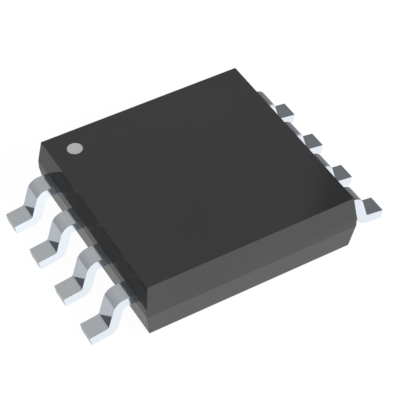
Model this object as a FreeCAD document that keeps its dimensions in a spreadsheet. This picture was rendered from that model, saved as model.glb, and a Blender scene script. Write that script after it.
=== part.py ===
"""Eight-lead small-outline chip package: moulded body, gull-wing leads and what the mould holds.

Millimetres and degrees. X runs across the two lead rows, Y along them and Z up. The origin is
at the bottom centre, on the plane that the lead tips stand on. Lead 1 is in the row at minus X,
at its plus Y end, beside the round mark, and the count goes down that row and up the other.
"""

import FreeCAD, Part
import math
import os
import Sketcher

os.makedirs("parts", exist_ok=True)
doc = FreeCAD.newDocument("soic_chip")

LEADS_PER_ROW = 4
LEAD_NUMBERS = range(1, 2 * LEADS_PER_ROW + 1)

# Flats round a bond wire, few because it is finer than a hair
WIRE_FLATS = 8

# How near two heights are, in millimetres, to count as one level
SAME_LEVEL = 1e-6

# Driving sizes
SIZES = (
    ("lead_pitch", 1.27, "centre to centre of neighbouring leads"),
    ("lead_width", 0.48, "width of a lead outside the body"),
    ("lead_thickness", 0.245, "thickness of the lead frame strip"),
    ("lead_exposed", 0.235, "flat run of a lead between the body side and its shoulder bend"),
    ("shoulder_radius", 0.07, "inside radius of the shoulder bend"),
    ("heel_radius", 0.06, "inside radius of the bend above the foot"),
    ("leg_angle", 73.5, "slope of the leg below the horizontal"),
    ("foot_angle", 8.5, "slope of the foot down to its tip"),
    ("foot_flat", 0.425, "straight run of the foot's upper face"),
    ("body_width", 5.41, "body across the leads, at the parting band"),
    ("end_margin", 0.742, "last lead's centre line to the end of the body, at the parting band"),
    ("standoff", 0.095, "gap under the body"),
    ("lower_height", 0.683, "underside up to the lead frame"),
    ("upper_height", 0.615, "lead frame up to the top face"),
    ("lower_draft", 8, "slope of the sides below the parting band"),
    ("upper_draft", 7.7, "slope of the sides above the parting band"),
    ("rim_radius", 0.02, "radius round the top face and round the underside"),
    ("mark_diameter", 0.37, "round mark beside lead 1"),
    ("mark_depth", 0.03, "depth of the dimple that holds the mark's ink"),
    ("mark_inset", 0.584, "centre of the mark from both edges of the top face"),
    ("ejector_diameter", 1.0, "round that the mould's ejector pin leaves on the underside"),
    ("ejector_depth", 0.03, "depth of that round"),
    ("wall_cover", 0.20, "mould between the body side and the wide part of a lead"),
    ("anchor_width", 0.80, "wide part of a lead that the mould grips"),
    ("anchor_length", 0.42, "length of that wide part"),
    ("lock_diameter", 0.25, "hole in it that the mould runs through"),
    ("finger_width", 0.40, "inner end of a lead, where its wire is bonded"),
    ("finger_length", 0.47, "from the wide part to the inner end"),
    ("finger_neck", 0.15, "run over which the wide part narrows"),
    ("outer_offset", 0.35, "step of the end leads' fingers towards the middle"),
    ("inner_offset", 0.06, "step of the middle leads' fingers towards the middle"),
    ("paddle_gap", 0.25, "fingers to the die paddle"),
    ("paddle_end_cover", 0.94, "die paddle to the end of the body"),
    ("paddle_downset", 0.20, "die paddle below the leads"),
    ("tie_width", 0.50, "width of the bars that carry the paddle"),
    ("tie_root", 0.12, "flat run of a bar beside the paddle"),
    ("tie_ramp", 0.20, "run over which a bar climbs to the leads' level"),
    ("tie_cover", 0.12, "mould over the end of a bar"),
    ("attach_thickness", 0.03, "adhesive under the die"),
    ("attach_margin", 0.06, "adhesive that shows round the die"),
    ("die_margin", 0.38, "edge of the die to the edge of the paddle"),
    ("die_thickness", 0.28, "silicon die"),
    ("pad_pitch", 0.62, "bond pads along the die's edge"),
    ("pad_inset", 0.12, "bond pads in from the die's edge"),
    ("stitch_inset", 0.14, "wire's outer bond in from the end of the finger"),
    ("wire_diameter", 0.03, "bond wire"),
    ("ball_diameter", 0.07, "ball that welds a wire to the die"),
    ("ball_height", 0.02, "height of that ball"),
    ("loop_rise", 0.09, "upright run of a wire above the die"),
    ("loop_radius", 0.07, "bend at the top of a wire"),
)

sheet = doc.addObject("Spreadsheet::Sheet", "sizes")
for row, (alias, value, note) in enumerate(SIZES, start=1):
    sheet.set(f"A{row}", note)
    sheet.set(f"B{row}", str(value))
    sheet.setAlias(f"B{row}", alias)
doc.recompute()

# Sizes that follow from the driving ones
HALF_WIDTH = "sizes.body_width / 2"
HALF_LENGTH = f"({LEADS_PER_ROW - 1} * sizes.lead_pitch / 2 + sizes.end_margin)"
LEAD_UNDER = "(sizes.standoff + sizes.lower_height)"
LEAD_TOP = f"({LEAD_UNDER} + sizes.lead_thickness)"
BODY_TOP = f"({LEAD_TOP} + sizes.upper_height)"
LOWER_DRAW = "(sizes.lower_height * tan(sizes.lower_draft * 1 deg))"
UPPER_DRAW = "(sizes.upper_height * tan(sizes.upper_draft * 1 deg))"
ANCHOR_OUTER = f"({HALF_WIDTH} - sizes.wall_cover)"
ANCHOR_INNER = f"({ANCHOR_OUTER} - sizes.anchor_length)"
FINGER_NECK = f"({ANCHOR_INNER} - sizes.finger_neck)"
FINGER_END = f"({ANCHOR_INNER} - sizes.finger_length)"
PADDLE_HALF_WIDTH = f"({FINGER_END} - sizes.paddle_gap)"
PADDLE_HALF_LENGTH = f"({HALF_LENGTH} - sizes.paddle_end_cover)"
PADDLE_UNDER = f"({LEAD_UNDER} - sizes.paddle_downset)"
PADDLE_TOP = f"({PADDLE_UNDER} + sizes.lead_thickness)"
DIE_HALF_WIDTH = f"({PADDLE_HALF_WIDTH} - sizes.die_margin)"
DIE_HALF_LENGTH = f"({PADDLE_HALF_LENGTH} - sizes.die_margin)"
DIE_UNDER = f"({PADDLE_TOP} + sizes.attach_thickness)"
DIE_TOP = f"({DIE_UNDER} + sizes.die_thickness)"
MARK_X = f"(sizes.mark_inset + {UPPER_DRAW} - {HALF_WIDTH})"
MARK_Y = f"({HALF_LENGTH} - {UPPER_DRAW} - sizes.mark_inset)"


def read(expression):
    """The number that an expression on the sheet stands for."""
    value = sheet.evalExpression(expression)
    return float(getattr(value, "Value", value))


def new_body(name):
    """A body whose label is the sub-part's name."""
    body = doc.addObject("PartDesign::Body", name)
    body.Label = name
    return body


def new_sketch(body, name, plane, height=None):
    """A sketch on one of the body's own origin planes, raised off it by an expression."""
    sketch = body.newObject("Sketcher::SketchObject", f"{body.Name}_{name}")
    support = next(part for part in body.Origin.OriginFeatures if part.Role == plane)
    sketch.AttachmentSupport = [(support, "")]
    sketch.MapMode = "FlatFace"
    if height is not None:
        sketch.setExpression(".AttachmentOffset.Base.z", height)
    return sketch


def bind(sketch, constraint, expression):
    """Add a dimension and tie it to an expression on the sheet."""
    number = sketch.addConstraint(constraint)
    sketch.setExpression(f"Constraints[{number}]", expression)


def place_point(sketch, element, end, x, y):
    """Hold one end of a sketch element at a place given by two expressions."""
    bind(sketch, Sketcher.Constraint("DistanceX", -1, 1, element, end, read(x)), x)
    bind(sketch, Sketcher.Constraint("DistanceY", -1, 1, element, end, read(y)), y)


def polygon(sketch, corners):
    """A closed outline of straight lines, each corner a pair of expressions."""
    points = [FreeCAD.Vector(read(x), read(y), 0) for x, y in corners]
    for number, start in enumerate(points):
        sketch.addGeometry(Part.LineSegment(start, points[(number + 1) % len(points)]), False)
    for number, (x, y) in enumerate(corners):
        sketch.addConstraint(
            Sketcher.Constraint("Coincident", number, 2, (number + 1) % len(corners), 1)
        )
        place_point(sketch, number, 1, x, y)


def circle(sketch, x, y, diameter):
    """A circle whose centre and diameter are expressions."""
    centre = FreeCAD.Vector(read(x), read(y), 0)
    sketch.addGeometry(Part.Circle(centre, FreeCAD.Vector(0, 0, 1), read(diameter) / 2), False)
    bind(sketch, Sketcher.Constraint("Diameter", 0, read(diameter)), diameter)
    place_point(sketch, 0, 3, x, y)


def fine_round(sketch, diameter):
    """A round as fine as a wire, centred on the sketch's origin and drawn with a few flats."""
    turns = [f"({number} / {WIRE_FLATS} * 360 deg)" for number in range(WIRE_FLATS)]
    polygon(sketch, [(f"{diameter} / 2 * cos{turn}", f"{diameter} / 2 * sin{turn}") for turn in turns])


def rectangle(sketch, half_width, half_length):
    """A rectangle centred on the origin."""
    left, back = f"-{half_width}", f"-{half_length}"
    corners = ((left, back), (half_width, back), (half_width, half_length), (left, half_length))
    polygon(sketch, corners)


def pad(body, sketch, length, both_ways=False):
    """Thicken a sketch by an expression, upwards or evenly to both sides."""
    feature = body.newObject("PartDesign::Pad", f"{sketch.Name}_pad")
    feature.Profile = sketch
    feature.Midplane = both_ways
    feature.setExpression("Length", length)
    return feature


def pocket(body, sketch, depth):
    """Cut a sketch downwards by an expression."""
    feature = body.newObject("PartDesign::Pocket", f"{sketch.Name}_cut")
    feature.Profile = sketch
    feature.setExpression("Length", depth)
    return feature


def place_in_row(part, number, x, y, z, turn="0 deg"):
    """Set a part that is drawn for the row at plus X in the row that its number belongs to."""
    side = "-1" if number <= LEADS_PER_ROW else "1"
    half_turn = "180 deg" if number <= LEADS_PER_ROW else "0 deg"
    part.Placement = FreeCAD.Placement(
        FreeCAD.Vector(), FreeCAD.Rotation(FreeCAD.Vector(0, 0, 1), 1)
    )
    part.setExpression("Placement.Base.x", f"{side} * {x}")
    part.setExpression("Placement.Base.y", f"{side} * {y}")
    part.setExpression("Placement.Base.z", z)
    part.setExpression("Placement.Rotation.Angle", f"{half_turn} + {turn}")


def row_place(number):
    """How far along its own row a lead stands from the middle, in pitches."""
    return (number - 1) % LEADS_PER_ROW - (LEADS_PER_ROW - 1) / 2


def lead_y(number):
    """A lead's place along its row."""
    return f"({row_place(number)} * sizes.lead_pitch)"


def finger_step(number):
    """How far a lead's finger steps aside, towards the middle of its row."""
    at_row_end = (number - 1) % LEADS_PER_ROW in (0, LEADS_PER_ROW - 1)
    size = "outer_offset" if at_row_end else "inner_offset"
    sign = "-1" if row_place(number) > 0 else "1"
    return f"({sign} * sizes.{size})"


def drafted_half(body, name, level, height, draw, upright):
    """A block as wide as the parting band at its root, drawn in by its draft at its other end."""
    half = body.newObject("PartDesign::AdditiveWedge", f"{body.Name}_{name}")
    support = next(part for part in body.Origin.OriginFeatures if part.Role == "XY_Plane")
    half.AttachmentSupport = [(support, "")]
    half.MapMode = "FlatFace"
    turn = FreeCAD.Rotation(FreeCAD.Vector(1, 0, 0), 90 if upright else -90)
    half.AttachmentOffset = FreeCAD.Placement(FreeCAD.Vector(), turn)
    half.setExpression(".AttachmentOffset.Base.z", level)
    half.Ymin = 0
    half.setExpression("Ymax", height)
    for letter, reach in (("X", HALF_WIDTH), ("Z", HALF_LENGTH)):
        half.setExpression(f"{letter}min", f"-({reach})")
        half.setExpression(f"{letter}max", reach)
        half.setExpression(f"{letter}2min", f"-({reach} - {draw})")
        half.setExpression(f"{letter}2max", f"{reach} - {draw}")
    return half


# The blank of the body: the parting band with a drafted half above it and one below
def body_blank():
    body = new_body("body_blank")
    band = new_sketch(body, "band", "XY_Plane", LEAD_UNDER)
    rectangle(band, HALF_WIDTH, HALF_LENGTH)
    pad(body, band, "sizes.lead_thickness")
    drafted_half(body, "upper_half", LEAD_TOP, "sizes.upper_height", UPPER_DRAW, True)
    drafted = drafted_half(body, "lower_half", LEAD_UNDER, "sizes.lower_height", LOWER_DRAW, False)
    doc.recompute()

    # The top face and the underside have rounded rims, and the other edges of the mould are crisp
    rim_levels = (read("sizes.standoff"), read(BODY_TOP))
    rims = [
        f"Edge{number}"
        for number, edge in enumerate(drafted.Shape.Edges, start=1)
        if any(all(abs(v.Z - level) < SAME_LEVEL for v in edge.Vertexes) for level in rim_levels)
    ]
    rounding = body.newObject("PartDesign::Fillet", "body_blank_rims")
    rounding.Base = (drafted, rims)
    rounding.setExpression("Radius", "sizes.rim_radius")
    doc.recompute()

    dimple = new_sketch(body, "dimple", "XY_Plane", BODY_TOP)
    circle(dimple, MARK_X, MARK_Y, "sizes.mark_diameter")
    pocket(body, dimple, "sizes.mark_depth")

    ejector = new_sketch(body, "ejector", "XY_Plane", "sizes.standoff + sizes.ejector_depth")
    circle(ejector, "0", "0", "sizes.ejector_diameter")
    pocket(body, ejector, "sizes.ejector_depth")
    return body


# The ink that fills the dimple beside lead 1, level with the top face
def pin_1_mark():
    mark = doc.addObject("Part::Cylinder", "pin_1_mark")
    mark.Label = "pin_1_mark"
    mark.setExpression("Radius", "sizes.mark_diameter / 2")
    mark.setExpression("Height", "sizes.mark_depth")
    mark.setExpression("Placement.Base.x", MARK_X)
    mark.setExpression("Placement.Base.y", MARK_Y)
    mark.setExpression("Placement.Base.z", f"{BODY_TOP} - sizes.mark_depth")
    return mark


def gull_wing(sketch):
    """Side view of a lead: flat run, shoulder bend, leg, heel bend and foot, one thickness."""
    thickness = read("sizes.lead_thickness")
    shoulder = read("sizes.shoulder_radius")
    heel = read("sizes.heel_radius")
    leg = math.radians(read("sizes.leg_angle"))
    foot = math.radians(read("sizes.foot_angle"))
    foot_flat = read("sizes.foot_flat")
    bend_x = read(f"{HALF_WIDTH} + sizes.lead_exposed")
    bend = FreeCAD.Vector(bend_x, read(LEAD_UNDER) - shoulder, 0)

    def on_circle(centre, radius, slope):
        """Point on a bend where the strip slopes down this much, below the centre if negative."""
        return centre + FreeCAD.Vector(radius * math.sin(slope), radius * math.cos(slope), 0)

    # The heel's centre is as high as leaves the lower corner of the tip on the ground
    heel_z = foot_flat * math.sin(foot) + (heel + thickness) * math.cos(foot)
    leg_top = on_circle(bend, shoulder + thickness, leg)
    leg_drop = leg_top.y - heel_z + heel * math.cos(leg)
    heel_x = leg_top.x + leg_drop / math.tan(leg) + heel * math.sin(leg)
    turn = FreeCAD.Vector(heel_x, heel_z, 0)

    up = FreeCAD.Vector(0, 0, 1)
    inner_x = read(ANCHOR_INNER)
    along_foot = FreeCAD.Vector(math.cos(foot), -math.sin(foot), 0) * foot_flat
    foot_top = on_circle(turn, -heel, foot)
    foot_low = on_circle(turn, -heel - thickness, foot)
    outline = (
        Part.LineSegment(
            FreeCAD.Vector(inner_x, bend.y + shoulder + thickness, 0),
            on_circle(bend, shoulder + thickness, 0),
        ),
        Part.ArcOfCircle(
            Part.Circle(bend, up, shoulder + thickness), math.pi / 2 - leg, math.pi / 2
        ),
        Part.LineSegment(leg_top, on_circle(turn, -heel, leg)),
        Part.ArcOfCircle(
            Part.Circle(turn, up, heel), 1.5 * math.pi - leg, 1.5 * math.pi - foot
        ),
        Part.LineSegment(foot_top, foot_top + along_foot),
        Part.LineSegment(foot_top + along_foot, foot_low + along_foot),
        Part.LineSegment(foot_low + along_foot, foot_low),
        Part.ArcOfCircle(
            Part.Circle(turn, up, heel + thickness), 1.5 * math.pi - leg, 1.5 * math.pi - foot
        ),
        Part.LineSegment(on_circle(turn, -heel - thickness, leg), on_circle(bend, shoulder, leg)),
        Part.ArcOfCircle(Part.Circle(bend, up, shoulder), math.pi / 2 - leg, math.pi / 2),
        Part.LineSegment(on_circle(bend, shoulder, 0), FreeCAD.Vector(inner_x, bend.y + shoulder, 0)),
        Part.LineSegment(
            FreeCAD.Vector(inner_x, bend.y + shoulder, 0),
            FreeCAD.Vector(inner_x, bend.y + shoulder + thickness, 0),
        ),
    )
    for piece in outline:
        sketch.addGeometry(piece, False)
    flat, over, leg_face, inside, top, tip, sole, outside, back, under, below, end = range(12)
    joints = (
        ("Tangent", flat, 2, over, 2),
        ("Tangent", over, 1, leg_face, 1),
        ("Tangent", leg_face, 2, inside, 1),
        ("Tangent", inside, 2, top, 1),
        ("Coincident", top, 2, tip, 1),
        ("Coincident", tip, 2, sole, 1),
        ("Tangent", sole, 2, outside, 2),
        ("Tangent", outside, 1, back, 1),
        ("Tangent", back, 2, under, 1),
        ("Tangent", under, 2, below, 1),
        ("Coincident", below, 2, end, 1),
        ("Coincident", end, 2, flat, 1),
        ("Coincident", over, 3, under, 3),
        ("Coincident", inside, 3, outside, 3),
        ("Horizontal", flat),
        ("Horizontal", below),
        ("Vertical", end),
        ("Perpendicular", top, tip),
        ("Perpendicular", tip, sole),
        ("Equal", tip, end),
    )
    for joint in joints:
        sketch.addConstraint(Sketcher.Constraint(*joint))
    bind(sketch, Sketcher.Constraint("Radius", under, shoulder), "sizes.shoulder_radius")
    bind(sketch, Sketcher.Constraint("Radius", inside, heel), "sizes.heel_radius")
    bind(sketch, Sketcher.Constraint("Distance", top, foot_flat), "sizes.foot_flat")
    bind(sketch, Sketcher.Constraint("Distance", end, thickness), "sizes.lead_thickness")
    bind(sketch, Sketcher.Constraint("Angle", leg_face, -leg), "-sizes.leg_angle * 1 deg")
    bind(sketch, Sketcher.Constraint("Angle", top, -foot), "-sizes.foot_angle * 1 deg")
    bind(
        sketch,
        Sketcher.Constraint("DistanceX", -1, 1, flat, 2, bend_x),
        f"{HALF_WIDTH} + sizes.lead_exposed",
    )
    place_point(sketch, end, 1, ANCHOR_INNER, LEAD_UNDER)
    sketch.addConstraint(Sketcher.Constraint("PointOnObject", tip, 2, -1))


# One lead: the bent strip outside, and the anchor and bonding finger that the mould holds
def lead(number):
    body = new_body(f"lead_{number}")
    side_view = new_sketch(body, "side", "XZ_Plane")
    gull_wing(side_view)
    pad(body, side_view, "sizes.lead_width", both_ways=True)

    step = finger_step(number)
    wide, narrow = "sizes.anchor_width / 2", "sizes.finger_width / 2"
    finger = new_sketch(body, "finger", "XY_Plane", LEAD_UNDER)
    polygon(
        finger,
        (
            (ANCHOR_OUTER, f"-{wide}"),
            (ANCHOR_OUTER, wide),
            (ANCHOR_INNER, wide),
            (FINGER_NECK, f"{step} + {narrow}"),
            (FINGER_END, f"{step} + {narrow}"),
            (FINGER_END, f"{step} - {narrow}"),
            (FINGER_NECK, f"{step} - {narrow}"),
            (ANCHOR_INNER, f"-{wide}"),
        ),
    )
    pad(body, finger, "sizes.lead_thickness")

    lock = new_sketch(body, "lock", "XY_Plane", LEAD_TOP)
    circle(lock, f"{ANCHOR_OUTER} - sizes.anchor_length / 2", "0", "sizes.lock_diameter")
    pocket(body, lock, "sizes.lead_thickness")
    place_in_row(body, number, "0", lead_y(number), "0")
    return body


# The plate under the die, set down below the leads, with a bar at each end that climbs to them
def die_paddle():
    body = new_body("die_paddle")
    plate = new_sketch(body, "plate", "XY_Plane", PADDLE_UNDER)
    rectangle(plate, PADDLE_HALF_WIDTH, PADDLE_HALF_LENGTH)
    pad(body, plate, "sizes.lead_thickness")

    bend = "sizes.lead_thickness * tan(atan(sizes.paddle_downset / sizes.tie_ramp) / 2)"
    foot = f"{PADDLE_HALF_LENGTH} + sizes.tie_root"
    head = f"{foot} + sizes.tie_ramp"
    end = f"{HALF_LENGTH} - sizes.tie_cover"
    bar = new_sketch(body, "tie_bar", "YZ_Plane")
    polygon(
        bar,
        (
            ("0", PADDLE_UNDER),
            (foot, PADDLE_UNDER),
            (head, LEAD_UNDER),
            (end, LEAD_UNDER),
            (end, LEAD_TOP),
            (f"{head} - {bend}", LEAD_TOP),
            (f"{foot} - {bend}", PADDLE_TOP),
            ("0", PADDLE_TOP),
        ),
    )
    near_bar = pad(body, bar, "sizes.tie_width", both_ways=True)
    doc.recompute()
    both_bars = body.newObject("PartDesign::Mirrored", "die_paddle_both_bars")
    both_bars.Originals = [near_bar]
    across = next(part for part in body.Origin.OriginFeatures if part.Role == "XZ_Plane")
    both_bars.MirrorPlane = (across, [""])
    body.Tip = both_bars
    return body


def plate_on_axis(name, half_width, half_length, under, thickness):
    """A plate centred over the origin."""
    plate = doc.addObject("Part::Box", name)
    plate.Label = name
    plate.setExpression("Length", f"2 * {half_width}")
    plate.setExpression("Width", f"2 * {half_length}")
    plate.setExpression("Height", thickness)
    plate.setExpression("Placement.Base.x", f"-{half_width}")
    plate.setExpression("Placement.Base.y", f"-{half_length}")
    plate.setExpression("Placement.Base.z", under)
    return plate


# The adhesive layer that holds the die down
def die_attach():
    return plate_on_axis(
        "die_attach",
        f"({DIE_HALF_WIDTH} + sizes.attach_margin)",
        f"({DIE_HALF_LENGTH} + sizes.attach_margin)",
        PADDLE_TOP,
        "sizes.attach_thickness",
    )


# The chip itself
def silicon_die():
    return plate_on_axis(
        "silicon_die", DIE_HALF_WIDTH, DIE_HALF_LENGTH, DIE_UNDER, "sizes.die_thickness"
    )


# One bond wire, drawn from its ball on the die and then turned towards its finger
def bond_wire(number):
    pad_x = f"({DIE_HALF_WIDTH} - sizes.pad_inset)"
    pad_y = f"({row_place(number)} * sizes.pad_pitch)"
    reach_x = f"({FINGER_END} + sizes.stitch_inset - {pad_x})"
    reach_y = f"({lead_y(number)} + {finger_step(number)} - {pad_y})"
    span = f"hypot({reach_x}; {reach_y})"
    drop = f"({DIE_TOP} - {LEAD_TOP})"
    sunk = f"({drop} + sizes.wire_diameter)"

    body = new_body(f"bond_wire_{number}")
    path = new_sketch(body, "path", "XZ_Plane")
    radius = read("sizes.loop_radius")
    rise = read("sizes.loop_rise")
    centre = FreeCAD.Vector(radius, rise, 0)
    landing = FreeCAD.Vector(read(span), -read(sunk), 0)
    away = landing - centre
    leave = math.atan2(away.y, away.x) + math.acos(radius / away.Length)
    leaving = centre + FreeCAD.Vector(math.cos(leave), math.sin(leave), 0) * radius
    path.addGeometry(Part.LineSegment(FreeCAD.Vector(), FreeCAD.Vector(0, rise, 0)), False)
    path.addGeometry(
        Part.ArcOfCircle(Part.Circle(centre, FreeCAD.Vector(0, 0, 1), radius), leave, math.pi),
        False,
    )
    path.addGeometry(Part.LineSegment(leaving, landing), False)
    path.addConstraint(Sketcher.Constraint("Coincident", 0, 1, -1, 1))
    path.addConstraint(Sketcher.Constraint("Vertical", 0))
    path.addConstraint(Sketcher.Constraint("Tangent", 0, 2, 1, 2))
    path.addConstraint(Sketcher.Constraint("Tangent", 1, 1, 2, 1))
    bind(path, Sketcher.Constraint("DistanceY", 0, 1, 0, 2, rise), "sizes.loop_rise")
    bind(path, Sketcher.Constraint("Radius", 1, radius), "sizes.loop_radius")
    place_point(path, 2, 2, span, f"-{sunk}")

    section = new_sketch(body, "section", "XY_Plane")
    fine_round(section, "sizes.wire_diameter")
    wire = body.newObject("PartDesign::AdditivePipe", f"{body.Name}_run")
    wire.Profile = section
    wire.Spine = (path, [])

    ball = new_sketch(body, "ball", "XY_Plane")
    fine_round(ball, "sizes.ball_diameter")
    pad(body, ball, "sizes.ball_height")

    # The outer half of the run is trimmed level with the finger, which leaves its stitch flat
    trim = new_sketch(body, "trim", "XY_Plane", f"-{drop}")
    beside = "2 * sizes.wire_diameter"
    polygon(
        trim,
        (
            (f"{span} / 2", f"-{beside}"),
            (f"{span} + {beside}", f"-{beside}"),
            (f"{span} + {beside}", beside),
            (f"{span} / 2", beside),
        ),
    )
    pocket(body, trim, f"{drop} + {beside}")
    place_in_row(body, number, pad_x, pad_y, DIE_TOP, f"atan2({reach_y}; {reach_x})")
    return body


# The finished body: the blank with room for everything that is moulded into it
def moulded_body(blank, held):
    filling = doc.addObject("Part::MultiFuse", "filling")
    filling.Shapes = held
    body = doc.addObject("Part::Cut", "moulded_body")
    body.Label = "moulded_body"
    body.Base = blank
    body.Tool = filling
    return body


leads = [lead(number) for number in LEAD_NUMBERS]
wires = [bond_wire(number) for number in LEAD_NUMBERS]
inner = [die_paddle(), die_attach(), silicon_die()]
mark = pin_1_mark()
doc.recompute()
shell = moulded_body(body_blank(), leads + wires + inner)
doc.recompute()

sub_parts = [shell, mark] + leads + inner + wires
for item in doc.Objects:
    if "Invalid" in item.State or "Error" in item.State:
        raise RuntimeError(f"{item.Name} did not build: {item.State}")
for item in sub_parts:
    if item.Shape.isNull() or not item.Shape.isValid():
        raise RuntimeError(f"{item.Label} has no valid shape")
    if len(item.Shape.Solids) != 1:
        raise RuntimeError(f"{item.Label} has {len(item.Shape.Solids)} solids, not one")

for item in sub_parts:
    item.Shape.exportStep(os.path.join("parts", f"{item.Label}.step"))

whole = Part.makeCompound([item.Shape for item in sub_parts]).BoundBox
print(f"{len(sub_parts)} sub-parts, {whole.XLength:.3f} x {whole.YLength:.3f} x {whole.ZLength:.3f} mm")
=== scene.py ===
"""Looks of an eight-lead small-outline chip package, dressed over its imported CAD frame.

The frame is in metres. The shapes here are worked out in millimetres, in the CAD's own axes: X
across the two rows of leads, Y along them, Z up from the plane that the lead tips stand on. They
are scaled to metres as the last step, so that bevels and cuts are made on comfortable numbers.
"""

import math

import bmesh
import bpy
from mathutils import Matrix, Vector


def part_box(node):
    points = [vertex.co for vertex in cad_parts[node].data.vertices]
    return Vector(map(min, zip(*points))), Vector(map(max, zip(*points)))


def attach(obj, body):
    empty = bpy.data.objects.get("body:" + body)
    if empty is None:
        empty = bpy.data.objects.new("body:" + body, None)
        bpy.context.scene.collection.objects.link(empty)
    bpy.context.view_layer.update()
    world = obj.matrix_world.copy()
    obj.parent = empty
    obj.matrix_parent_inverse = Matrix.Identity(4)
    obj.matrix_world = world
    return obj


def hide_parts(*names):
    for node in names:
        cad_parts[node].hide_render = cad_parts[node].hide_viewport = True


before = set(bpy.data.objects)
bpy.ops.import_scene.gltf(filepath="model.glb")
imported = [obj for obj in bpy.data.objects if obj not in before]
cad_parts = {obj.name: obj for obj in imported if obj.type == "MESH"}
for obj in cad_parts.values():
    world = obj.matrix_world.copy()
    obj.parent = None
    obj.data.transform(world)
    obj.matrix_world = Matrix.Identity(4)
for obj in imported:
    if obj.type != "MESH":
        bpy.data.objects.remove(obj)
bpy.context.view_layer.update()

MM = 0.001
LEADS_PER_ROW = 4
LEAD_NUMBERS = range(1, 2 * LEADS_PER_ROW + 1)
INNER_NODES = ["die_paddle", "die_attach", "silicon_die"]
WIRE_NODES = [f"bond_wire_{number}" for number in LEAD_NUMBERS]


def box_mm(node):
    """Lowest and highest corner of a CAD node, in millimetres."""
    low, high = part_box(node)
    return low / MM, high / MM


# Sizes in millimetres, the same as the part's own. The frame gives the body's outline and heights.
body_low, body_high = box_mm("moulded_body")
mark_low, mark_high = box_mm("pin_1_mark")
mark_centre = (mark_low + mark_high) / 2
mark_radius = (mark_high.x - mark_low.x) / 2

# The moulding below and above its parting band, and the round that the ejector pin leaves
LOWER_HEIGHT = 0.683
UPPER_HEIGHT = 0.615
LOWER_DRAFT = math.radians(8)
UPPER_DRAFT = math.radians(7.7)
LOWER_DRAW = LOWER_HEIGHT * math.tan(LOWER_DRAFT)
UPPER_DRAW = UPPER_HEIGHT * math.tan(UPPER_DRAFT)
EJECTOR_RADIUS = 0.50
EJECTOR_DEPTH = 0.03

# A lead outside the mould
LEAD_PITCH = 1.27
STRIP_WIDTH = 0.48
STRIP_THICKNESS = 0.245
STRIP_LEVEL = body_low.z + LOWER_HEIGHT
LEAD_EXPOSED = 0.235
SHOULDER_RADIUS = 0.07
HEEL_RADIUS = 0.06
LEG_SLOPE = math.radians(73.5)
FOOT_SLOPE = math.radians(8.5)
FOOT_FLAT = 0.425

# A lead inside the mould
WALL_COVER = 0.20
ANCHOR_WIDTH = 0.80
ANCHOR_LENGTH = 0.42
LOCK_DIAMETER = 0.25
FINGER_WIDTH = 0.40
FINGER_LENGTH = 0.47
FINGER_NECK = 0.15
OUTER_OFFSET = 0.35
INNER_OFFSET = 0.06

# Rounded edges, as crisp as the photo's. The CAD's rims are softer and its other edges sharp.
RIM_EDGE = 0.008
CORNER_EDGE = 0.008
BAND_EDGE = 0.006
STRIP_EDGE = 0.006
FORM_EDGE = 0.006
DIMPLE_EDGE = 0.005

# The ink's surface: how far in from the dimple's wall, and how deep under the top face
INK_SURFACE = ((0, 0.004), (0.003, 0.002), (0.012, 0.0035), (0.04, 0.0045))
INK_SAG = 0.005

# How far a form that cuts stands out of the face it cuts, and how near two points are one
CUT_CLEAR = 0.02
MERGE_REACH = 0.0005
CAD_MERGE_REACH = 0.0001

# How finely what is round is divided, and from what angle an edge stays sharp
BEND_STEPS = 14
EDGE_STEPS = 3
LOCK_STEPS = 48
RING_STEPS = 96
SHARP_ANGLE = math.radians(40)

# Widths of the finishes' patterns. Where a real one is too fine to show, its finish says so below.
EPOXY_GRAIN = 0.055
SILICA_SPECK = 0.11
RESIN_FLOW = 1.6
TIN_ROLLING = 0.03
TIN_CRYSTAL = 0.035
INK_MOTTLE = 0.07
COPPER_ROLLING = 0.04
SILVER_FLAKE = 0.03
CIRCUIT_BLOCK = 0.16
GOLD_DRAWING = 0.012

# Heights of the reliefs on three of them
EPOXY_RELIEF = 0.002
TIN_RELIEF = 0.0006
INK_RELIEF = 0.003


def linear(hex_colour):
    """A hex sRGB colour as linear RGBA."""
    parts = [int(hex_colour[i : i + 2], 16) / 255 for i in (1, 3, 5)]
    light = [c / 12.92 if c <= 0.04045 else ((c + 0.055) / 1.055) ** 2.4 for c in parts]
    return (*light, 1.0)


def per_mm(size):
    """Texture scale that gives a pattern this size in millimetres, on coordinates in metres."""
    return 1 / (size * MM)


def feed(tree, node, feeds):
    """Give a node's inputs, by name or number, their values or the outputs that they follow."""
    for key, value in feeds.items():
        if isinstance(value, bpy.types.NodeSocket):
            tree.links.new(value, node.inputs[key])
        else:
            node.inputs[key].default_value = value


def add(tree, kind, feeds=None, **settings):
    """Add a node with its settings, values and links."""
    node = tree.nodes.new(kind)
    for name, value in settings.items():
        setattr(node, name, value)
    feed(tree, node, feeds or {})
    return node


def new_material(name):
    """An empty material with its tree, its shader and its object coordinates."""
    material = bpy.data.materials.new(name)
    material.use_nodes = True
    tree = material.node_tree
    tree.nodes.clear()
    shader = add(tree, "ShaderNodeBsdfPrincipled")
    add(tree, "ShaderNodeOutputMaterial", {"Surface": shader.outputs["BSDF"]})
    place = add(tree, "ShaderNodeTexCoord").outputs["Object"]
    return material, tree, shader, place


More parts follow.
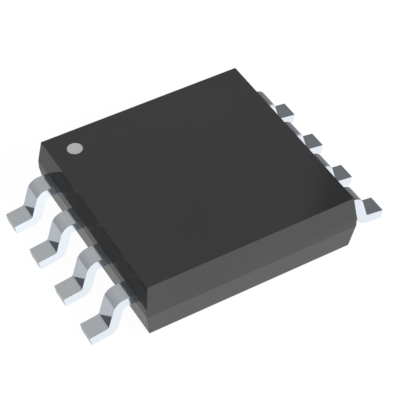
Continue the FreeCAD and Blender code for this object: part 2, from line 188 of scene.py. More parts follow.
# Transfer-moulded epoxy, mostly silica sand. The smooth mould leaves a dark satin skin, near black
# from above, that mirrors the leads and the room at a low angle. Its grain is very faint, and the
# grains of silica that lie just under the skin show as faint paler specks. Real grains are 0.01 to
# 0.05 mm, too fine to show, so grain and specks are drawn coarser. The resin's flow marks are as
# wide as real ones.
def moulded_epoxy():
    material, tree, shader, place = new_material("moulded_silica_filled_epoxy")
    grain = add(
        tree,
        "ShaderNodeTexNoise",
        {"Vector": place, "Scale": per_mm(EPOXY_GRAIN), "Detail": 3.0, "Roughness": 0.6},
    )
    silica = add(
        tree,
        "ShaderNodeTexVoronoi",
        {"Vector": place, "Scale": per_mm(SILICA_SPECK), "Randomness": 1.0},
    )
    flow = add(
        tree,
        "ShaderNodeTexNoise",
        {"Vector": place, "Scale": per_mm(RESIN_FLOW), "Detail": 2.0, "Distortion": 0.6},
    )
    speck = add(
        tree,
        "ShaderNodeMapRange",
        {"Value": silica.outputs["Distance"], "From Min": 0.22, "From Max": 0.10},
        interpolation_type="SMOOTHSTEP",
    )
    resin = add(
        tree,
        "ShaderNodeMix",
        {"Factor": flow.outputs["Fac"], 6: linear("#303031"), 7: linear("#373738")},
        data_type="RGBA",
    )
    speck_share = add(
        tree,
        "ShaderNodeMath",
        {0: speck.outputs["Result"], 1: 0.05},
        operation="MULTIPLY",
    )
    tint = add(
        tree,
        "ShaderNodeMix",
        {"Factor": speck_share.outputs["Value"], 6: resin.outputs[2], 7: linear("#6e6d69")},
        data_type="RGBA",
    )
    sheen = add(
        tree,
        "ShaderNodeMapRange",
        {
            "Value": grain.outputs["Fac"],
            "From Min": 0.3,
            "From Max": 0.7,
            "To Min": 0.05,
            "To Max": 0.09,
        },
    )
    relief = add(
        tree,
        "ShaderNodeBump",
        {"Height": grain.outputs["Fac"], "Distance": EPOXY_RELIEF * MM, "Strength": 0.15},
    )
    feeds = {
        "Base Color": tint.outputs[2],
        "Roughness": sheen.outputs["Result"],
        "Normal": relief.outputs["Normal"],
        "IOR": 1.46,
    }
    feed(tree, shader, feeds)
    return material


# Copper-alloy strip, tin plated where it stands out of the mould. The plating is pale and satin
# bright, so each face takes the tone of what it looks at: the white sheet, the grey room or the
# black mould. Rolling has left faint lines along the strip. Under the mould it is bare copper.
# Real tin crystals and rolling lines are a few thousandths of a millimetre wide, too fine to show,
# so both are drawn about ten times as coarse.
def tinned_strip():
    material, tree, shader, place = new_material("satin_tin_on_copper_strip")
    # The lines of rolling are about 16 times as long as they are wide, and run along the strip
    across = add(tree, "ShaderNodeMapping", {"Vector": place, "Scale": (0.06, 1.0, 0.06)})
    rolled = add(
        tree,
        "ShaderNodeTexNoise",
        {"Vector": across.outputs["Vector"], "Scale": per_mm(TIN_ROLLING), "Detail": 2.0},
    )
    crystals = add(
        tree,
        "ShaderNodeTexNoise",
        {"Vector": place, "Scale": per_mm(TIN_CRYSTAL), "Detail": 3.0, "Roughness": 0.65},
    )
    # Bare copper begins behind the wall of the mould, midway to the anchor
    sides = add(tree, "ShaderNodeSeparateXYZ", {"Vector": place})
    reach = add(tree, "ShaderNodeMath", {0: sides.outputs["X"]}, operation="ABSOLUTE")
    plated = add(
        tree,
        "ShaderNodeMath",
        {0: reach.outputs["Value"], 1: (body_high.x - WALL_COVER / 2) * MM},
        operation="GREATER_THAN",
    )
    plating = add(
        tree,
        "ShaderNodeMix",
        {"Factor": crystals.outputs["Fac"], 6: linear("#e1e8ef"), 7: linear("#e9f0f8")},
        data_type="RGBA",
    )
    tint = add(
        tree,
        "ShaderNodeMix",
        {"Factor": plated.outputs["Value"], 6: linear("#c98f6c"), 7: plating.outputs[2]},
        data_type="RGBA",
    )
    mottle = add(
        tree,
        "ShaderNodeMath",
        {0: rolled.outputs["Fac"], 1: crystals.outputs["Fac"]},
        operation="ADD",
    )
    satin = add(
        tree,
        "ShaderNodeMapRange",
        {
            "Value": mottle.outputs["Value"],
            "From Min": 0.6,
            "From Max": 1.4,
            "To Min": 0.07,
            "To Max": 0.13,
        },
    )
    relief = add(
        tree,
        "ShaderNodeBump",
        {"Height": mottle.outputs["Value"], "Distance": TIN_RELIEF * MM, "Strength": 0.4},
    )
    feeds = {
        "Base Color": tint.outputs[2],
        "Roughness": satin.outputs["Result"],
        "Normal": relief.outputs["Normal"],
        "Metallic": 1.0,
    }
    feed(tree, shader, feeds)
    return material


# Pad-printed marking ink: an opaque pale grey film, slightly uneven where it has wetted the dimple.
# The clusters of its pigment, about 0.01 mm in real ink, are drawn coarse enough to show.
def marking_ink():
    material, tree, shader, place = new_material("printed_marking_ink")
    film = add(
        tree,
        "ShaderNodeTexNoise",
        {"Vector": place, "Scale": per_mm(INK_MOTTLE), "Detail": 3.0, "Roughness": 0.55},
    )
    tint = add(
        tree,
        "ShaderNodeMix",
        {"Factor": film.outputs["Fac"], 6: linear("#bcbcbc"), 7: linear("#cbcbcb")},
        data_type="RGBA",
    )
    sheen = add(
        tree,
        "ShaderNodeMapRange",
        {"Value": film.outputs["Fac"], "To Min": 0.42, "To Max": 0.6},
    )
    relief = add(
        tree,
        "ShaderNodeBump",
        {"Height": film.outputs["Fac"], "Distance": INK_RELIEF * MM, "Strength": 0.4},
    )
    feeds = {
        "Base Color": tint.outputs[2],
        "Roughness": sheen.outputs["Result"],
        "Normal": relief.outputs["Normal"],
    }
    feed(tree, shader, feeds)
    return material


# Etched and rolled copper alloy, warm and satin, with the lines of the rolling mill. They are drawn
# several times as wide as real ones, so that they show, and run from tie bar to tie bar.
def bare_copper():
    material, tree, shader, place = new_material("rolled_copper_alloy")
    along = add(tree, "ShaderNodeMapping", {"Vector": place, "Scale": (1.0, 0.05, 1.0)})
    rolled = add(
        tree,
        "ShaderNodeTexNoise",
        {"Vector": along.outputs["Vector"], "Scale": per_mm(COPPER_ROLLING), "Detail": 3.0},
    )
    tint = add(
        tree,
        "ShaderNodeMix",
        {"Factor": rolled.outputs["Fac"], 6: linear("#bd8260"), 7: linear("#d39a77")},
        data_type="RGBA",
    )
    satin = add(
        tree,
        "ShaderNodeMapRange",
        {"Value": rolled.outputs["Fac"], "To Min": 0.28, "To Max": 0.44},
    )
    feeds = {
        "Base Color": tint.outputs[2],
        "Roughness": satin.outputs["Result"],
        "Metallic": 1.0,
    }
    feed(tree, shader, feeds)
    return material


# Epoxy paste full of silver flakes, a dull grey that glints in places. Real flakes are up to
# 0.02 mm long. These are drawn a little larger, so that they show.
def silver_epoxy():
    material, tree, shader, place = new_material("silver_filled_epoxy_paste")
    flakes = add(
        tree,
        "ShaderNodeTexVoronoi",
        {"Vector": place, "Scale": per_mm(SILVER_FLAKE), "Randomness": 1.0},
    )
    tint = add(
        tree,
        "ShaderNodeMix",
        {"Factor": flakes.outputs["Distance"], 6: linear("#b9b7b0"), 7: linear("#8d8b86")},
        data_type="RGBA",
    )
    glint = add(
        tree,
        "ShaderNodeMapRange",
        {"Value": flakes.outputs["Distance"], "To Min": 0.3, "To Max": 0.6},
    )
    feeds = {
        "Base Color": tint.outputs[2],
        "Roughness": glint.outputs["Result"],
        "Metallic": 0.6,
    }
    feed(tree, shader, feeds)
    return material


# Polished silicon under its glass coat. The blocks of circuit, as wide as on a real die, show as
# faint steps of colour.
def silicon():
    material, tree, shader, place = new_material("passivated_silicon")
    blocks = add(
        tree,
        "ShaderNodeTexVoronoi",
        {"Vector": place, "Scale": per_mm(CIRCUIT_BLOCK), "Randomness": 0.7},
        distance="CHEBYCHEV",
    )
    cells = add(tree, "ShaderNodeSeparateColor", {"Color": blocks.outputs["Color"]})
    tint = add(
        tree,
        "ShaderNodeMix",
        {"Factor": cells.outputs["Red"], 6: linear("#4e5560"), 7: linear("#6c6a78")},
        data_type="RGBA",
    )
    feed(tree, shader, {"Base Color": tint.outputs[2], "Metallic": 0.5, "Roughness": 0.12})
    return material


# Drawn gold wire, bright, with fine draw lines that soften its shine in places. The pattern is many
# times as coarse as real draw lines, so that it shows.
def gold_wire():
    material, tree, shader, place = new_material("drawn_gold_wire")
    drawn = add(
        tree, "ShaderNodeTexNoise", {"Vector": place, "Scale": per_mm(GOLD_DRAWING), "Detail": 2.0}
    )
    shine = add(
        tree,
        "ShaderNodeMapRange",
        {"Value": drawn.outputs["Fac"], "To Min": 0.1, "To Max": 0.26},
    )
    feeds = {
        "Base Color": linear("#f2c261"),
        "Roughness": shine.outputs["Result"],
        "Metallic": 1.0,
    }
    feed(tree, shader, feeds)
    return material


def new_tree(name, inputs):
    """A geometry tree with a mesh in, a mesh out and these named inputs."""
    tree = bpy.data.node_groups.new(name, "GeometryNodeTree")
    tree.interface.new_socket("Geometry", in_out="INPUT", socket_type="NodeSocketGeometry")
    for label, kind in inputs:
        tree.interface.new_socket(label, in_out="INPUT", socket_type=f"NodeSocket{kind}")
    tree.interface.new_socket("Geometry", in_out="OUTPUT", socket_type="NodeSocketGeometry")
    return tree, add(tree, "NodeGroupInput").outputs


def close_tree(tree, geometry, material):
    """End a tree in a plain mesh that carries its material."""
    real = add(tree, "GeometryNodeRealizeInstances", {"Geometry": geometry})
    smooth = add(tree, "GeometryNodeSetShadeSmooth", {"Geometry": real.outputs["Geometry"]})
    dressed = add(
        tree,
        "GeometryNodeSetMaterial",
        {"Geometry": smooth.outputs["Geometry"], "Material": material},
    )
    add(tree, "NodeGroupOutput", {"Geometry": dressed.outputs["Geometry"]})


def lead_tree():
    """A lead of the row at plus X: a strip bent down to its foot, joined to the plate inside.

    It is then moved to its place along the row and turned into the other row if it belongs there.
    """
    tree, given = new_tree(
        "gull_wing_lead",
        (
            ("Root", "Vector"),
            ("Shoulder corner", "Vector"),
            ("Heel corner", "Vector"),
            ("Tip", "Vector"),
            ("Shoulder bend radius", "Float"),
            ("Heel bend radius", "Float"),
            ("Bend steps", "Int"),
            ("Strip width", "Float"),
            ("Strip thickness", "Float"),
            ("Edge radius", "Float"),
            ("Lock place", "Vector"),
            ("Lock diameter", "Float"),
            ("Place along row", "Vector"),
            ("Turn", "Vector"),
            ("Finish", "Material"),
        ),
    )
    index = add(tree, "GeometryNodeInputIndex").outputs["Index"]
    corners = add(tree, "GeometryNodeIndexSwitch", {"Index": index}, data_type="VECTOR")
    corners.index_switch_items.new()
    corners.index_switch_items.new()
    for number, name in enumerate(("Root", "Shoulder corner", "Heel corner", "Tip"), start=1):
        tree.links.new(given[name], corners.inputs[number])
    line = add(tree, "GeometryNodeMeshLine", {"Count": 4})
    path = add(tree, "GeometryNodeMeshToCurve", {"Mesh": line.outputs["Mesh"]})
    bent = add(
        tree,
        "GeometryNodeSetPosition",
        {"Geometry": path.outputs["Curve"], "Position": corners.outputs["Output"]},
    )
    at_shoulder = add(
        tree, "FunctionNodeCompare", {2: index, 3: 1}, data_type="INT", operation="EQUAL"
    )
    radius = add(
        tree,
        "GeometryNodeSwitch",
        {
            "Switch": at_shoulder.outputs["Result"],
            "False": given["Heel bend radius"],
            "True": given["Shoulder bend radius"],
        },
        input_type="FLOAT",
    )
    rounded = add(
        tree,
        "GeometryNodeFilletCurve",
        {
            "Curve": bent.outputs["Geometry"],
            "Count": given["Bend steps"],
            "Radius": radius.outputs["Output"],
        },
        mode="POLY",
    )
    upright = add(
        tree, "GeometryNodeSetCurveNormal", {"Curve": rounded.outputs["Curve"]}, mode="Z_UP"
    )
    section = add(
        tree,
        "GeometryNodeCurvePrimitiveQuadrilateral",
        {"Width": given["Strip width"], "Height": given["Strip thickness"]},
        mode="RECTANGLE",
    )
    eased = add(
        tree,
        "GeometryNodeFilletCurve",
        {
            "Curve": section.outputs["Curve"],
            "Count": EDGE_STEPS,
            "Radius": given["Edge radius"],
        },
        mode="POLY",
    )
    strip = add(
        tree,
        "GeometryNodeCurveToMesh",
        {
            "Curve": upright.outputs["Curve"],
            "Profile Curve": eased.outputs["Curve"],
            "Fill Caps": True,
        },
    )
    whole = add(tree, "GeometryNodeMeshBoolean", operation="UNION", solver="EXACT")
    tree.links.new(strip.outputs["Mesh"], whole.inputs[1])
    tree.links.new(given["Geometry"], whole.inputs[1])
    lock_radius = add(
        tree, "ShaderNodeMath", {0: given["Lock diameter"], 1: 2.0}, operation="DIVIDE"
    )
    lock = add(
        tree,
        "GeometryNodeMeshCylinder",
        {"Vertices": LOCK_STEPS, "Radius": lock_radius.outputs["Value"], "Depth": 1.0},
    )
    lock_there = add(
        tree,
        "GeometryNodeTransform",
        {"Geometry": lock.outputs["Mesh"], "Translation": given["Lock place"]},
    )
    locked = add(
        tree,
        "GeometryNodeMeshBoolean",
        {0: whole.outputs["Mesh"], 1: lock_there.outputs["Geometry"]},
        operation="DIFFERENCE",
        solver="EXACT",
    )
    # The cuts leave a few points almost on top of each other
    joined = add(
        tree,
        "GeometryNodeMergeByDistance",
        {"Geometry": locked.outputs["Mesh"], "Distance": MERGE_REACH},
    )
    in_row = add(
        tree,
        "GeometryNodeTransform",
        {"Geometry": joined.outputs["Geometry"], "Translation": given["Place along row"]},
    )
    turned = add(
        tree,
        "GeometryNodeTransform",
        {"Geometry": in_row.outputs["Geometry"], "Rotation": given["Turn"]},
    )
    close_tree(tree, turned.outputs["Geometry"], given["Finish"])
    return tree


def blank_tree():
    """The moulding without its openings: four levels of a block, each with its own outline."""
    tree, given = new_tree(
        "drafted_moulding",
        (
            ("Underside", "Vector"),
            ("Band foot", "Vector"),
            ("Band head", "Vector"),
            ("Top face", "Vector"),
            ("Corner share of rim", "Float"),
            ("Band share of rim", "Float"),
            ("Finish", "Material"),
        ),
    )
    # The block's corners are at 1 and -1, and its levels at -1.5, -0.5, 0.5 and 1.5
    block = add(
        tree,
        "GeometryNodeMeshCube",
        {"Size": (2.0, 2.0, 3.0), "Vertices X": 2, "Vertices Y": 2, "Vertices Z": 4},
    )
    place = add(tree, "GeometryNodeInputPosition").outputs["Position"]
    parts = add(tree, "ShaderNodeSeparateXYZ", {"Vector": place})
    level = add(tree, "ShaderNodeMath", {0: parts.outputs["Z"], 1: 1.5}, operation="ADD")
    outline = add(
        tree, "GeometryNodeIndexSwitch", {"Index": level.outputs["Value"]}, data_type="VECTOR"
    )
    outline.index_switch_items.new()
    outline.index_switch_items.new()
    for number, name in enumerate(("Underside", "Band foot", "Band head", "Top face"), start=1):
        tree.links.new(given[name], outline.inputs[number])
    sides = add(
        tree, "ShaderNodeCombineXYZ", {"X": parts.outputs["X"], "Y": parts.outputs["Y"], "Z": 1.0}
    )
    corner = add(
        tree,
        "ShaderNodeVectorMath",
        {0: sides.outputs["Vector"], 1: outline.outputs["Output"]},
        operation="MULTIPLY",
    )
    # How much each edge is rounded, from the rim down to the crisp edges of the parting band
    ends = add(tree, "GeometryNodeInputMeshEdgeVertices")
    first = add(tree, "ShaderNodeSeparateXYZ", {"Vector": ends.outputs["Position 1"]})
    second = add(tree, "ShaderNodeSeparateXYZ", {"Vector": ends.outputs["Position 2"]})
    flat = add(
        tree,
        "FunctionNodeCompare",
        {"A": first.outputs["Z"], "B": second.outputs["Z"], "Epsilon": 0.1},
        operation="EQUAL",
    )
    height = add(tree, "ShaderNodeMath", {0: first.outputs["Z"]}, operation="ABSOLUTE")
    at_rim = add(
        tree,
        "FunctionNodeCompare",
        {"A": height.outputs["Value"], "B": 1.0},
        operation="GREATER_THAN",
    )
    level_share = add(
        tree,
        "GeometryNodeSwitch",
        {"Switch": at_rim.outputs["Result"], "False": given["Band share of rim"], "True": 1.0},
        input_type="FLOAT",
    )
    share = add(
        tree,
        "GeometryNodeSwitch",
        {
            "Switch": flat.outputs["Result"],
            "False": given["Corner share of rim"],
            "True": level_share.outputs["Output"],
        },
        input_type="FLOAT",
    )
    weighed = add(
        tree,
        "GeometryNodeStoreNamedAttribute",
        {
            "Geometry": block.outputs["Mesh"],
            "Name": "bevel_weight_edge",
            "Value": share.outputs["Output"],
        },
        data_type="FLOAT",
        domain="EDGE",
    )
    shaped = add(
        tree,
        "GeometryNodeSetPosition",
        {"Geometry": weighed.outputs["Geometry"], "Position": corner.outputs["Vector"]},
    )
    close_tree(tree, shaped.outputs["Geometry"], given["Finish"])
    return tree


def new_piece(name, mesh=None):
    """An object in the scene, with an empty mesh if none is given."""
    piece = bpy.data.objects.new(name, mesh or bpy.data.meshes.new(name))
    bpy.context.scene.collection.objects.link(piece)
    return piece


def grow(piece, tree, values):
    """Give a piece a geometry tree, with each named input set."""
    modifier = piece.modifiers.new(tree.name, "NODES")
    modifier.node_group = tree
    sockets = {
        item.name: item.identifier
        for item in tree.interface.items_tree
        if item.in_out == "INPUT" and item.name in values
    }
    for name, value in values.items():
        modifier[sockets[name]] = value


def bake_down(piece):
    """Turn a piece and its modifiers into one plain mesh."""
    graph = bpy.context.evaluated_depsgraph_get()
    mesh = bpy.data.meshes.new_from_object(piece.evaluated_get(graph), depsgraph=graph)
    piece.modifiers.clear()
    piece.data = mesh


def settle(piece, finish, nodes):
    """Give a piece its one finish, even out its shading and hand it to the frame in metres."""
    piece.data.materials.clear()
    piece.data.materials.append(finish)
    for face in piece.data.polygons:
        face.material_index = 0
    piece.data.set_sharp_from_angle(angle=SHARP_ANGLE)
    evened = piece.modifiers.new("shading", "WEIGHTED_NORMAL")
    evened.keep_sharp = True
    bake_down(piece)
    piece.data.transform(Matrix.Scale(MM, 4))
    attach(piece, "root")
    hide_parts(*nodes)


def turned(name, profile, centre):
    """A closed round form from a profile of (radius, height) pairs, low to high, on a centre."""
    form = bmesh.new()
    rings = []
    for radius, height in profile:
        if radius == 0:
            rings.append([form.verts.new((0, 0, height))])
            continue
        turns = [2 * math.pi * step / RING_STEPS for step in range(RING_STEPS)]
        rings.append(
            [form.verts.new((radius * math.cos(a), radius * math.sin(a), height)) for a in turns]
        )
    for low, high in zip(rings, rings[1:]):
        for step in range(RING_STEPS):
            ahead = (step + 1) % RING_STEPS
            lower = [low[step], low[ahead]] if len(low) > 1 else [low[0]]
            upper = [high[ahead], high[step]] if len(high) > 1 else [high[0]]
            form.faces.new(lower + upper)
    bmesh.ops.recalc_face_normals(form, faces=form.faces)
    for face in form.faces:
        face.smooth = True
    mesh = bpy.data.meshes.new(name)
    form.to_mesh(mesh)
    form.free()
    mesh.transform(Matrix.Translation(centre))
    return new_piece(name, mesh)


def plate_mesh(name, outline, low, high):
    """A flat plate from its outline."""
    form = bmesh.new()
    face = form.faces.new([form.verts.new((x, y, low)) for x, y in outline])
    raised = bmesh.ops.extrude_face_region(form, geom=[face])["geom"]
    top = [part for part in raised if isinstance(part, bmesh.types.BMVert)]
    bmesh.ops.translate(form, verts=top, vec=(0, 0, high - low))
    bmesh.ops.recalc_face_normals(form, faces=form.faces)
    mesh = bpy.data.meshes.new(name)
    form.to_mesh(mesh)
    form.free()
    return mesh


def row_place(number):
    """How far along its own row a lead stands from the middle, in pitches."""
    return (number - 1) % LEADS_PER_ROW - (LEADS_PER_ROW - 1) / 2


def lead_corners():
    """Corners of the line down the middle of a lead's strip, before its bends are rounded."""
    half = STRIP_THICKNESS / 2
    level = STRIP_LEVEL + half
    shoulder_x = body_high.x + LEAD_EXPOSED + (SHOULDER_RADIUS + half) * math.tan(LEG_SLOPE / 2)
    foot_run = FOOT_FLAT + (HEEL_RADIUS + half) * math.tan((LEG_SLOPE - FOOT_SLOPE) / 2)
    tip_z = half * math.cos(FOOT_SLOPE)
    heel_z = tip_z + foot_run * math.sin(FOOT_SLOPE)
    heel_x = shoulder_x + (level - heel_z) / math.tan(LEG_SLOPE)
    return {
        "Root": Vector((body_high.x - WALL_COVER - ANCHOR_LENGTH, 0, level)),
        "Shoulder corner": Vector((shoulder_x, 0, level)),
        "Heel corner": Vector((heel_x, 0, heel_z)),
        "Tip": Vector((heel_x + foot_run * math.cos(FOOT_SLOPE), 0, tip_z)),
    }


def finger_outline(number):
    """Plan of a lead's part inside the mould: the wide anchor, its neck and the bonding finger."""
    outer = body_high.x - WALL_COVER
    inner = outer - ANCHOR_LENGTH
    end = inner - FINGER_LENGTH
    at_row_end = (number - 1) % LEADS_PER_ROW in (0, LEADS_PER_ROW - 1)
    step = math.copysign(OUTER_OFFSET if at_row_end else INNER_OFFSET, -row_place(number))
    wide, narrow = ANCHOR_WIDTH / 2, FINGER_WIDTH / 2
    return (
        (outer, -wide),
        (outer, wide),
        (inner, wide),
        (inner - FINGER_NECK, step + narrow),
        (end, step + narrow),
        (end, step - narrow),
        (inner - FINGER_NECK, step - narrow),
        (inner, -wide),
    )


def make_leads(finish):
    """The eight leads, in millimetres."""
    tree = lead_tree()
    top = STRIP_LEVEL + STRIP_THICKNESS
    half = STRIP_THICKNESS / 2
    leads = []
    for number in LEAD_NUMBERS:
        name = f"gull_wing_lead_{number}"
        piece = new_piece(name, plate_mesh(name, finger_outline(number), STRIP_LEVEL, top))
        values = {
            "Shoulder bend radius": SHOULDER_RADIUS + half,
            "Heel bend radius": HEEL_RADIUS + half,
            "Bend steps": BEND_STEPS,
            "Strip width": STRIP_WIDTH,
            "Strip thickness": STRIP_THICKNESS,
            "Edge radius": STRIP_EDGE,
            "Lock place": (body_high.x - WALL_COVER - ANCHOR_LENGTH / 2, 0, STRIP_LEVEL),
            "Lock diameter": LOCK_DIAMETER,
            "Place along row": (0, row_place(number) * LEAD_PITCH, 0),
            "Turn": (0, 0, math.pi if number <= LEADS_PER_ROW else 0),
            "Finish": finish,
        }
        grow(piece, tree, {**values, **lead_corners()})
        bake_down(piece)
        leads.append(piece)
    return leads


def merged_copy(node):
    """A CAD node's mesh as one closed skin, in millimetres."""
    form = bmesh.new()
    form.from_mesh(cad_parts[node].data)
    bmesh.ops.scale(form, vec=(1 / MM,) * 3, verts=form.verts)
    bmesh.ops.remove_doubles(form, verts=form.verts, dist=CAD_MERGE_REACH)
    mesh = bpy.data.meshes.new(f"{node}_form")
    form.to_mesh(mesh)
    form.free()
    return new_piece(f"{node}_form", mesh)


def make_body(finish, held):
    """The moulding, with room for everything that it holds, in millimetres."""
    piece = new_piece("epoxy_moulding")
    half_x, half_y = body_high.x, body_high.y
    low_x, low_y = half_x - LOWER_DRAW, half_y - LOWER_DRAW
    top_x, top_y = half_x - UPPER_DRAW, half_y - UPPER_DRAW
    values = {
        "Underside": (low_x, low_y, body_low.z),
        "Band foot": (half_x, half_y, STRIP_LEVEL),
        "Band head": (half_x, half_y, STRIP_LEVEL + STRIP_THICKNESS),
        "Top face": (top_x, top_y, body_high.z),
        "Corner share of rim": CORNER_EDGE / RIM_EDGE,
        "Band share of rim": BAND_EDGE / RIM_EDGE,
        "Finish": finish,
    }
    grow(piece, blank_tree(), values)
    eased = piece.modifiers.new("edges", "BEVEL")
    eased.width = RIM_EDGE
    eased.segments = EDGE_STEPS
    eased.limit_method = "WEIGHT"

    cutters = bpy.data.collections.new("mould_inserts")
    bpy.context.scene.collection.children.link(cutters)
    for form in held:
        cutters.objects.link(form)
    cut = piece.modifiers.new("inserts", "BOOLEAN")
    cut.operand_type = "COLLECTION"
    cut.collection = cutters
    cut.solver = "EXACT"
    joined = piece.modifiers.new("joined_points", "WELD")
    joined.merge_threshold = MERGE_REACH
    bake_down(piece)
    bpy.data.collections.remove(cutters)
    return piece


def dimple_form():
    """What the mould leaves out for the mark: a shallow round with an eased edge."""
    floor, top = mark_low.z, body_high.z
    profile = (
        (0, floor),
        (mark_radius - FORM_EDGE, floor),
        (mark_radius, floor + FORM_EDGE),
        (mark_radius, top - DIMPLE_EDGE),
        (mark_radius + DIMPLE_EDGE, top),
        (mark_radius + DIMPLE_EDGE + CUT_CLEAR, top + CUT_CLEAR),
        (0, top + CUT_CLEAR),
    )
    return turned("dimple_form", profile, (mark_centre.x, mark_centre.y, 0))


def ejector_form():
    """What the pin that pushes the part out of its mould leaves in the underside."""
    low = body_low.z
    profile = (
        (0, low - CUT_CLEAR),
        (EJECTOR_RADIUS + FORM_EDGE + CUT_CLEAR, low - CUT_CLEAR),
        (EJECTOR_RADIUS + FORM_EDGE, low),
        (EJECTOR_RADIUS, low + FORM_EDGE),
        (EJECTOR_RADIUS, low + EJECTOR_DEPTH - FORM_EDGE),
        (EJECTOR_RADIUS - FORM_EDGE, low + EJECTOR_DEPTH),
        (0, low + EJECTOR_DEPTH),
    )
    return turned("ejector_form", profile, (0, 0, 0))


def make_mark():
    """The ink in the dimple: a thin film, a touch lower at its middle than by the wall."""
    floor, top = mark_low.z, mark_high.z
    profile = (
        (0, floor),
        (mark_radius - FORM_EDGE, floor),
        (mark_radius, floor + FORM_EDGE),
        *((mark_radius - inward, top - depth) for inward, depth in INK_SURFACE),
        (mark_radius / 2, top - INK_SAG),
        (0, top - INK_SAG),
    )
    return turned("ink_dot", profile, (mark_centre.x, mark_centre.y, 0))


# The leads come first, because the moulding closes round them and round everything inside
tin = tinned_strip()
epoxy = moulded_epoxy()
leads = make_leads(tin)
forms = [merged_copy(node) for node in INNER_NODES + WIRE_NODES]
forms += [dimple_form(), ejector_form()]
moulding = make_body(epoxy, leads + forms)
for form in forms:
    bpy.data.objects.remove(form)
settle(moulding, epoxy, ["moulded_body"])
for number, piece in zip(LEAD_NUMBERS, leads):
    settle(piece, tin, [f"lead_{number}"])
settle(make_mark(), marking_ink(), ["pin_1_mark"])

finishes = {
    "die_paddle": bare_copper(),
    "die_attach": silver_epoxy(),
    "silicon_die": silicon(),
}
gold = gold_wire()
for name in INNER_NODES + WIRE_NODES:
    for material_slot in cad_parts[name].material_slots:
        material_slot.material = finishes.get(name, gold)


# The stage: a white sheet under plain soft light
FLOOR_HALF = 0.4
SHADOW_SHARE = 0.08
SHEET_GLOW = 1.045
ROOM_LIGHT = 0.5
KEY_LAMP = {"place": (0.07, -0.16, 0.086), "size": 0.12, "power": 0.26}

# The camera: its lens for a 36 mm sensor, its place in millimetres and its three axes
VIEW_LENS = 132.912
VIEW_PLACE = (-11.8836, -20.6487, 25.2007)
VIEW_AXES = (
    (0.86489637, -0.50194809, 0.00154611),
    (0.35929032, 0.62123081, 0.69640704),
    (-0.35052067, -0.60176441, 0.71764535),
)

# What the polish of the leads and the sheen of the mould see round them. First the room, by the
# angle about the Y axis from +X: left wall, left and right floor, right wall, then the ceiling.
STUDIO_ROOM = (
    (-180, "#a0a0a2"),
    (-171, "#a0a0a2"),
    (-166, "#c8c7c9"),
    (-128, "#c8c7c9"),
    (-95, "#bdbdbd"),
    (-50, "#b8b7b8"),
    (-20, "#909090"),
    (0, "#818181"),
    (18, "#858585"),
    (32, "#6c6c6c"),
    (42, "#777777"),
    (54, "#b4b3b0"),
    (110, "#b5b4b2"),
    (180, "#a0a0a2"),
)

# Then the white sheet before the object, the back wall and a dark panel on the right. Each has its
# direction, how near to that it begins and is whole, and its tone.
STUDIO_CARDS = (
    ((0.10, -0.85, -0.60), 0.60, 0.84, "#ffffff"),
    ((0.0, 1.0, 0.0), 0.85, 0.95, "#b0b0b0"),
    ((0.547, 0.4415, 0.711), 0.9838, 0.9858, "#484848"),
)

# The near end of that sheet lies under the lamp and is lighter still, by the last number
SHEET_END = ((0.10, -0.95, -0.30), 0.81, 0.93, 1.30)

# A polished face that is itself seen in another one looks much darker. These are its tones by the
# height of what it faces: the floor below and before it, the low wall and the ceiling. They hold
# for rays that have met more polished faces than this.
ONE_LOOK = 1.5
SECOND_LOOK = (
    (-0.70, "#8e9597"),
    (-0.67, "#7e7770"),
    (0.19, "#585659"),
    (0.60, "#73716f"),
    (0.79, "#65686a"),
)


def seen_directly(tree):
    """1 for the rays that should meet the white background: camera, mirror and glass rays."""
    ray = add(tree, "ShaderNodeLightPath").outputs
    total = add(
        tree, "ShaderNodeMath", {0: ray["Is Camera Ray"], 1: ray["Is Glossy Ray"]}, operation="ADD"
    )
    return add(
        tree,
        "ShaderNodeMath",
        {0: total.outputs["Value"], 1: ray["Is Transmission Ray"]},
        operation="ADD",
        use_clamp=True,
    ).outputs["Value"]


def make_floor():
    """The white sheet that the part stands on, which keeps a faint shadow."""
    form = bmesh.new()
    corners = ((-1, -1), (1, -1), (1, 1), (-1, 1))
    form.faces.new([form.verts.new((x * FLOOR_HALF, y * FLOOR_HALF, 0)) for x, y in corners])
    mesh = bpy.data.meshes.new("floor")
    form.to_mesh(mesh)
    form.free()
    material = bpy.data.materials.new("white_paper_sheet")
    material.use_nodes = True
    tree = material.node_tree
    tree.nodes.clear()
    paper = add(tree, "ShaderNodeBsdfDiffuse", {"Color": linear("#f2f2f2")})
    white = add(tree, "ShaderNodeEmission", {"Color": linear("#ffffff"), "Strength": SHEET_GLOW})
    share = add(
        tree, "ShaderNodeMath", {0: seen_directly(tree), 1: 1 - SHADOW_SHARE}, operation="MULTIPLY"
    )
    surface = add(
        tree,
        "ShaderNodeMixShader",
        {0: share.outputs["Value"], 1: paper.outputs["BSDF"], 2: white.outputs["Emission"]},
    )
    add(tree, "ShaderNodeOutputMaterial", {"Surface": surface.outputs["Shader"]})
    mesh.materials.append(material)
    floor = new_piece("floor", mesh)
    floor.visible_glossy = False


def place_tones(ramp, tones):
    """Give a ramp these tones, each with its place from 0 to 1."""
    stops = ramp.color_ramp.elements
    for _ in tones[2:]:
        stops.new(1.0)
    for stop, (place, tone) in zip(stops, tones):
        stop.position = place
        stop.color = linear(tone)


def near_aim(tree, direction, aim, begins, whole, least=0.0, most=1.0):
    """Rises from least to most as a ray's direction comes near an aim."""
    nearness = add(
        tree,
        "ShaderNodeVectorMath",
        {0: direction, 1: Vector(aim).normalized()},
        operation="DOT_PRODUCT",
    )
    return add(
        tree,
        "ShaderNodeMapRange",
        {
            "Value": nearness.outputs["Value"],
            "From Min": begins,
            "From Max": whole,
            "To Min": least,
            "To Max": most,
        },
        interpolation_type="SMOOTHSTEP",
    ).outputs["Result"]


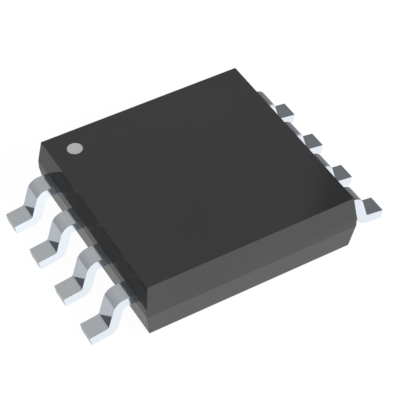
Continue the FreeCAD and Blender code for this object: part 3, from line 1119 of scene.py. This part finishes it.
def make_world():
    """The plain room round the sheet: an even white light, with its own tones where mirrored."""
    world = bpy.data.worlds.new("studio")
    bpy.context.scene.world = world
    world.use_nodes = True
    tree = world.node_tree
    tree.nodes.clear()
    direction = add(tree, "ShaderNodeTexCoord").outputs["Generated"]
    sides = add(tree, "ShaderNodeSeparateXYZ", {"Vector": direction}).outputs
    ray = add(tree, "ShaderNodeLightPath").outputs
    upright = add(tree, "ShaderNodeCombineXYZ", {"X": sides["X"], "Y": sides["Z"]})
    turned_by = add(
        tree,
        "ShaderNodeTexGradient",
        {"Vector": upright.outputs["Vector"]},
        gradient_type="RADIAL",
    )
    room_tones = add(tree, "ShaderNodeValToRGB", {"Fac": turned_by.outputs["Fac"]})
    place_tones(room_tones, [(0.5 + angle / 360, tone) for angle, tone in STUDIO_ROOM])
    around = add(
        tree,
        "ShaderNodeMix",
        {
            "Factor": ray["Is Glossy Ray"],
            6: linear("#ffffff"),
            7: room_tones.outputs["Color"],
        },
        data_type="RGBA",
    )
    tint = around.outputs[2]
    for aim, begins, whole, tone in STUDIO_CARDS:
        cover = near_aim(tree, direction, aim, begins, whole)
        share = add(
            tree, "ShaderNodeMath", {0: cover, 1: ray["Is Glossy Ray"]}, operation="MULTIPLY"
        )
        card = add(
            tree,
            "ShaderNodeMix",
            {"Factor": share.outputs["Value"], 6: tint, 7: linear(tone)},
            data_type="RGBA",
        )
        tint = card.outputs[2]
    again = add(
        tree, "ShaderNodeMath", {0: ray["Glossy Depth"], 1: ONE_LOOK}, operation="GREATER_THAN"
    )
    height = add(tree, "ShaderNodeMapRange", {"Value": sides["Z"], "From Min": -1.0})
    second = add(tree, "ShaderNodeValToRGB", {"Fac": height.outputs["Result"]})
    place_tones(second, [((1 + level) / 2, tone) for level, tone in SECOND_LOOK])
    seen = add(
        tree,
        "ShaderNodeMix",
        {"Factor": again.outputs["Value"], 6: tint, 7: second.outputs["Color"]},
        data_type="RGBA",
    )
    aim, begins, whole, strength = SHEET_END
    sheet_light = near_aim(tree, direction, aim, begins, whole, least=1.0, most=strength)
    room = add(
        tree, "ShaderNodeBackground", {"Color": linear("#ffffff"), "Strength": ROOM_LIGHT}
    )
    wall = add(
        tree, "ShaderNodeBackground", {"Color": seen.outputs[2], "Strength": sheet_light}
    )
    either = add(
        tree,
        "ShaderNodeMixShader",
        {0: seen_directly(tree), 1: room.outputs["Background"], 2: wall.outputs["Background"]},
    )
    add(tree, "ShaderNodeOutputWorld", {"Surface": either.outputs["Shader"]})


def add_lamp(name, place, size, power):
    """A soft square lamp that faces the object."""
    lamp = bpy.data.lights.new(name, "AREA")
    lamp.size = size
    lamp.energy = power
    holder = bpy.data.objects.new(name, lamp)
    bpy.context.scene.collection.objects.link(holder)
    holder.location = place
    holder.rotation_euler = (-Vector(place)).to_track_quat("-Z", "Y").to_euler()
    holder.visible_glossy = False


def make_camera():
    """The photograph's viewpoint, from the corners of the package that show in it."""
    camera = bpy.data.cameras.new("photograph_view")
    camera.lens = VIEW_LENS
    camera.sensor_width = 36.0
    camera.clip_start = 0.001
    camera.clip_end = 10.0
    holder = bpy.data.objects.new("photograph_view", camera)
    bpy.context.scene.collection.objects.link(holder)
    turn = Matrix(VIEW_AXES).transposed().to_4x4()
    holder.matrix_world = Matrix.Translation(Vector(VIEW_PLACE) * MM) @ turn
    bpy.context.scene.camera = holder


make_floor()
make_world()
add_lamp("key_lamp", **KEY_LAMP)
make_camera()
bpy.context.scene.view_settings.view_transform = "Standard"
